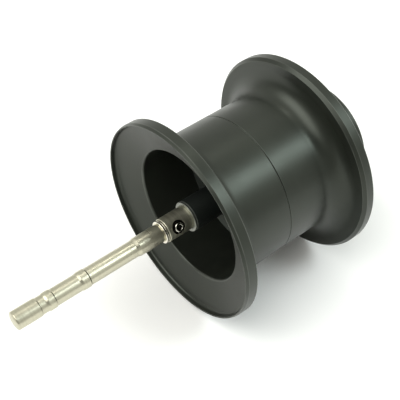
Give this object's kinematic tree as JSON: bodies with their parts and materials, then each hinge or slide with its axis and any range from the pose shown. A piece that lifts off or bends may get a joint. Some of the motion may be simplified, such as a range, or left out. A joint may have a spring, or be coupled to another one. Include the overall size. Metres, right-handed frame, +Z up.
{
  "type": "fishing reel spool",
  "caption": "Flanged line spool with a hollow drum and a rear boss, turning on two ball bearings on a long stepped spindle.",
  "frame": {"origin": "on the spindle's axis, at the seam between the two halves of the drum", "axes": "+Y along the spindle toward the rear boss, the long end of the spindle toward -Y, +Z up; the drive pins stand 33 degrees above +X"},
  "size_m": [0.047, 0.0871, 0.047],
  "materials": {
    "black_anodised": "satin black anodised, turned",
    "turned_spindle_steel": "fine turned, warm nickel tone",
    "turned_sleeve_steel": "turned and ground",
    "bright_pin_steel": "polished",
    "spring_steel": "bright",
    "dark_spring_steel": "phosphated",
    "bearing_steel": "ground",
    "bare_aluminium": "machined, bare",
    "brass": "satin"
  },
  "bodies": {
    "spindle_assembly": {"spindle": "turned_spindle_steel", "front_snap_ring": "spring_steel", "front_washer": "spring_steel", "bearing_spacer": "bare_aluminium", "rear_washer": "brass", "rear_snap_ring": "spring_steel", "front_inner_ring": "bearing_steel", "rear_inner_ring": "bearing_steel"},
    "spool": {"front_shell": "black_anodised", "rear_shell": "black_anodised", "hub": "black_anodised", "drive_sleeve": "turned_sleeve_steel", "drive_pin_1": "bright_pin_steel", "drive_pin_2": "bright_pin_steel", "hub_end_ring": "bare_aluminium", "rear_circlip": "dark_spring_steel", "front_outer_ring": "bearing_steel", "front_shield_front": "bearing_steel", "front_shield_rear": "bearing_steel", "rear_outer_ring": "bearing_steel", "rear_shield_front": "bearing_steel", "rear_shield_rear": "bearing_steel"},
    "front_cage_set": {"front_cage": "brass", "front_ball_1": "bearing_steel", "front_ball_2": "bearing_steel", "front_ball_3": "bearing_steel", "front_ball_4": "bearing_steel", "front_ball_5": "bearing_steel", "front_ball_6": "bearing_steel", "front_ball_7": "bearing_steel"},
    "rear_cage_set": {"rear_cage": "brass", "rear_ball_1": "bearing_steel", "rear_ball_2": "bearing_steel", "rear_ball_3": "bearing_steel", "rear_ball_4": "bearing_steel", "rear_ball_5": "bearing_steel", "rear_ball_6": "bearing_steel", "rear_ball_7": "bearing_steel"}
  },
  "joints": [
    {"name": "spool_spin", "type": "hinge", "parent": "spindle_assembly", "child": "spool", "pos_m": [0, 0, 0], "axis": [0, 1, 0], "continuous": true},
    {"name": "front_cage_spin", "type": "hinge", "parent": "spindle_assembly", "child": "front_cage_set", "pos_m": [0, 0.0043, 0], "axis": [0, 1, 0], "continuous": true},
    {"name": "rear_cage_spin", "type": "hinge", "parent": "spindle_assembly", "child": "rear_cage_set", "pos_m": [0, 0.0233, 0], "axis": [0, 1, 0], "continuous": true}
  ],
  "couplings": [
    {"joint": "front_cage_spin", "follows": "spool_spin", "ratio": 0.6241},
    {"joint": "rear_cage_spin", "follows": "spool_spin", "ratio": 0.6241}
  ]
}
